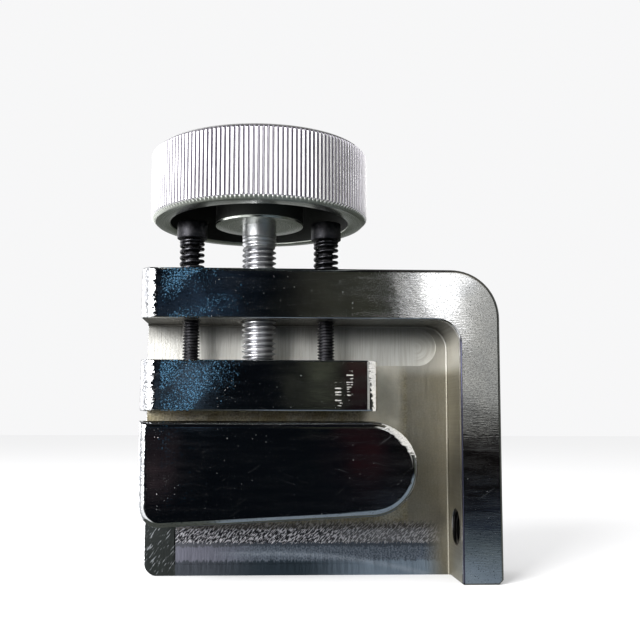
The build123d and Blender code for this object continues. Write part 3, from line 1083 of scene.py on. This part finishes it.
def make_bar(material):
    """The moving jaw, cut near each end."""
    low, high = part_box("moving_jaw")
    cuts = (low.x + BAR_CUT * MM, high.x - BAR_CUT * MM)
    piece = refined_copy("moving_jaw", "jaw_bar", material, cuts)
    return stand_for(piece, "moving_jaw", "jaw")


bright_screw = new_metal("bright_screw_steel", turned_steel)
black_steel = new_metal("black_oxide_steel", black_oxide)
black_wire = new_metal("black_spring_wire", spring_wire)
knob_metal = new_metal("knob_aluminium", knob_finish)
frame_metal = new_metal("frame_chrome", frame_plating)
jaw_metal = new_metal("jaw_chrome", jaw_plating)

screws = [make_main_screw(bright_screw)]
for node in ("left_lifting_screw", "right_lifting_screw"):
    screws.append(make_lifting_screw(node, black_steel))
for node in ("left_spring", "right_spring"):
    screws.append(make_spring(node, black_wire))
knob = make_knob(knob_metal)
block = make_block(frame_metal)
bar = make_bar(jaw_metal)

# ------------------ the stage

BACKDROP = (0.93, 0.93, 0.935)
ROOM_LIGHT = 1.02
FLOOR_COLOUR = (0.86, 0.86, 0.865)
FLOOR_HALF = 3.0
FLOOR_GAP = TINY * 20
LIGHT_DISTANCE = 0.6

# The room that mirrors show. Each card has its azimuths and elevations in degrees, seen from
# the press with the camera at azimuth 0, then how soft its sides are and its radiance.
# A later card lies over the earlier ones.
ROOM_HIGH, ROOM_LOW = (0.085, 0.09, 0.075), (0.04, 0.04, 0.04)
CARDS = [
    # The bench, and its bluish part in front.
    ((-200, 200), (-100, -9), 2.0, (0.075, 0.082, 0.070)),
    ((-1, 60), (-100, -9), 3.0, (0.20, 0.24, 0.28)),
    # The dark behind the camera.
    ((-19, 14), (-34, 60), 2.0, (0.0025, 0.0035, 0.0050)),
    ((9, 50), (-8.5, 60), 1.5, (0.0040, 0.0035, 0.0035)),
    # Three steps down to the bench at the right.
    ((8, 40), (-40, -5.4), 0.6, (0.022, 0.030, 0.046)),
    ((8, 40), (-40, -6.8), 0.6, (0.10, 0.125, 0.135)),
    ((8, 40), (-40, -8.6), 0.8, (0.21, 0.26, 0.31)),
    # A faint patch, then the grey wall at the right with a small lamp.
    ((3, 12), (4, 16), 2.5, (0.034, 0.035, 0.026)),
    ((10.5, 30), (0.6, 22), 0.5, (0.51, 0.51, 0.48)),
    ((10.7, 13.0), (6.8, 11.2), 0.9, (4.2, 4.2, 4.2)),
    # The lamp that the worn facets show, and the dim right side.
    ((13, 28), (22, 36), 2.0, (1.15, 1.12, 1.04)),
    ((35, 100), (30, 75), 6.0, (0.16, 0.15, 0.12)),
    ((78, 118), (-8, 40), 8.0, (0.16, 0.16, 0.155)),
    # The wall behind the press, in two parts that meet.
    ((165, 220), (-8, 50), 6.0, (0.50, 0.51, 0.52)),
    ((-220, -165), (-8, 50), 6.0, (0.50, 0.51, 0.52)),
    # The pale wall at the left, and two windows.
    ((-120, -22), (-35, 34), 3.0, (0.50, 0.51, 0.53)),
    ((-74, -22), (-35, 34), 3.0, (1.25, 1.27, 1.3)),
    ((-152, -108), (-25, 50), 5.0, (2.2, 2.2, 2.25)),
]

# Faint tints in the dark behind the camera, cut up by streaks, by soft noise or not at all.
STREAKED_TINTS = [
    ((-7, -1.5), (6.0, 10.5), 1.2, (0.040, 0.070, 0.12)),
    ((-8, -3.6), (1.2, 4.2), 0.7, (0.16, 0.24, 0.34)),
]
CLOUDED_TINTS = [
    ((-8, -5.8), (-4, -0.5), 0.6, (0.050, 0.036, 0.040)),
    ((5.4, 7.6), (-3.4, 0.6), 1.2, (0.034, 0.010, 0.011)),
    ((5.8, 7.0), (2.0, 4.8), 0.4, (0.075, 0.016, 0.020)),
]
EVEN_TINT = ((3.0, 4.8), (1.4, 4.6), 0.8, (0.068, 0.074, 0.052))
EVEN_SHARE = 0.9


def lay_card(nodes, azimuth, elevation, colour, card, share=1.0):
    """The room's colour with a card laid over it."""
    across, up, soft, shade = card
    area = nodes.times(nodes.band(azimuth, *across, soft), nodes.band(elevation, *up, soft))
    return nodes.mix(nodes.times(area, share), colour, shade)


def mirrored_room(nodes, direction):
    """What a mirror shows in each direction: a dim room with windows at the left."""
    x, y, z = nodes.pick(direction, "xyz")
    round_axis = nodes.math("ARCTAN2", x, nodes.times(y, -1.0))
    azimuth = nodes.times(round_axis, math.degrees(1.0))
    elevation = nodes.times(nodes.math("ARCSINE", z), math.degrees(1.0))
    streaks = nodes.noise(direction, (22, 1, 46), 4.0, -0.4, 1.0)
    clouds = nodes.noise(direction, 16)
    colour = nodes.mix(nodes.rise(elevation, 10, 60), ROOM_HIGH, ROOM_LOW)
    for card in CARDS:
        colour = lay_card(nodes, azimuth, elevation, colour, card)
    for card in STREAKED_TINTS:
        colour = lay_card(nodes, azimuth, elevation, colour, card, streaks)
    for card in CLOUDED_TINTS:
        colour = lay_card(nodes, azimuth, elevation, colour, card, clouds)
    return lay_card(nodes, azimuth, elevation, colour, EVEN_TINT, EVEN_SHARE)


def make_world():
    """Pale to the camera, even to diffuse rays, and the room to mirror rays."""
    world = bpy.data.worlds.new("studio")
    bpy.context.scene.world = world
    world.use_nodes = True
    tree = world.node_tree
    nodes = Nodes(tree)
    direction = nodes.add("TexCoord").outputs["Generated"]
    room = mirrored_room(nodes, direction)
    path = nodes.add("LightPath").outputs
    mirrored = nodes.add("Background", {"Color": room})
    lit = nodes.add("Background", {"Color": (1.0, 1.0, 1.0), "Strength": ROOM_LIGHT})
    seen = nodes.add("Background", {"Color": BACKDROP})
    shown = nodes.choose(path["Is Glossy Ray"], lit, mirrored)
    shown = nodes.choose(path["Is Camera Ray"], shown, seen)
    tree.links.new(shown.outputs[0], tree.nodes["World Output"].inputs["Surface"])
    world.cycles.sampling_method = "NONE"


def make_floor():
    """A plain pale floor. Reflections look through it to the dim room."""
    data = bpy.data.meshes.new("floor")
    half = FLOOR_HALF
    corners = [(-half, -half, 0), (half, -half, 0), (half, half, 0), (-half, half, 0)]
    data.from_pydata(corners, [], [(0, 1, 2, 3)])
    floor = bpy.data.objects.new("floor", data)
    add_to_scene(floor)
    floor.location.z = cad_low.z - FLOOR_GAP
    material = bpy.data.materials.new("pale_floor")
    material.use_nodes = True
    tree = material.node_tree
    nodes = Nodes(tree)
    paper = nodes.add("BsdfDiffuse", {"Color": FLOOR_COLOUR})
    path = nodes.add("LightPath").outputs["Is Glossy Ray"]
    clear = nodes.add("BsdfTransparent")
    shown = nodes.choose(path, paper, clear)
    tree.links.new(shown.outputs[0], tree.nodes["Material Output"].inputs["Surface"])
    data.materials.append(material)
    return floor


def make_light(name, direction, size, energy, pieces):
    """A soft rectangular light from an azimuth and an elevation, for some pieces only."""
    data = bpy.data.lights.new(name, "AREA")
    data.shape = "RECTANGLE"
    data.size, data.size_y = size
    data.energy = energy
    light = bpy.data.objects.new(name, data)
    add_to_scene(light)
    azimuth, elevation = (math.radians(angle) for angle in direction)
    side = Vector((math.sin(azimuth), -math.cos(azimuth), 0)) * math.cos(elevation)
    toward = side + Vector((0, 0, math.sin(elevation)))
    light.location = (cad_low + cad_high) / 2 + toward * LIGHT_DISTANCE
    light.rotation_euler = toward.to_track_quat("Z", "Y").to_euler()
    lit = bpy.data.collections.new(name + "_pieces")
    for piece in pieces:
        lit.objects.link(piece)
    light.light_linking.receiver_collection = lit


make_world()
floor = make_floor()
# Direction in degrees, size in metres and power in watts.
make_light("key", (-42, 20), (0.36, 0.4), 8.0, [*screws, floor])
make_light("plate_key", (-42, 20), (0.36, 0.4), 4.2, [block, bar])
make_light("satin_fill", (-4, 30), (1.4, 0.3), 2.8, screws)
make_light("knob_fill", (2, 30), (1.5, 0.3), 7.4, [knob])
make_light("knob_left", (-78, 15), (0.5, 0.4), 3.5, [knob])
bpy.context.scene.view_settings.view_transform = "Standard"

# ------------------ the camera

# Millimetres for the lens and its sensor, degrees for the turns and metres for the place.
CAMERA_LENS = 49.0
CAMERA_SENSOR = 36.0
CAMERA_SHIFT = (0.03125, 0.046875)
CAMERA_YAW, CAMERA_PITCH, CAMERA_ROLL = 2.614, 4.981, 0.139
CAMERA_OFF_AXIS, CAMERA_BACK, CAMERA_HEIGHT = 0.00039, 0.20105, 0.03493


def make_camera():
    """A camera in front of the main screw's axis, a little below the middle and looking up."""
    data = bpy.data.cameras.new("camera")
    camera = bpy.data.objects.new("camera", data)
    add_to_scene(camera)
    data.lens = CAMERA_LENS
    data.sensor_width = CAMERA_SENSOR
    data.shift_x, data.shift_y = CAMERA_SHIFT
    data.clip_start = 0.01
    low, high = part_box("main_screw")
    axis_x = (low.x + high.x) / 2
    camera.location = (axis_x + CAMERA_OFF_AXIS, -CAMERA_BACK, CAMERA_HEIGHT)
    turn = Matrix.Rotation(math.radians(-CAMERA_YAW), 4, "Z")
    tilt = Matrix.Rotation(math.radians(90 + CAMERA_PITCH), 4, "X")
    roll = Matrix.Rotation(math.radians(CAMERA_ROLL), 4, "Z")
    camera.rotation_euler = (turn @ tilt @ roll).to_euler()
    bpy.context.scene.camera = camera


make_camera()
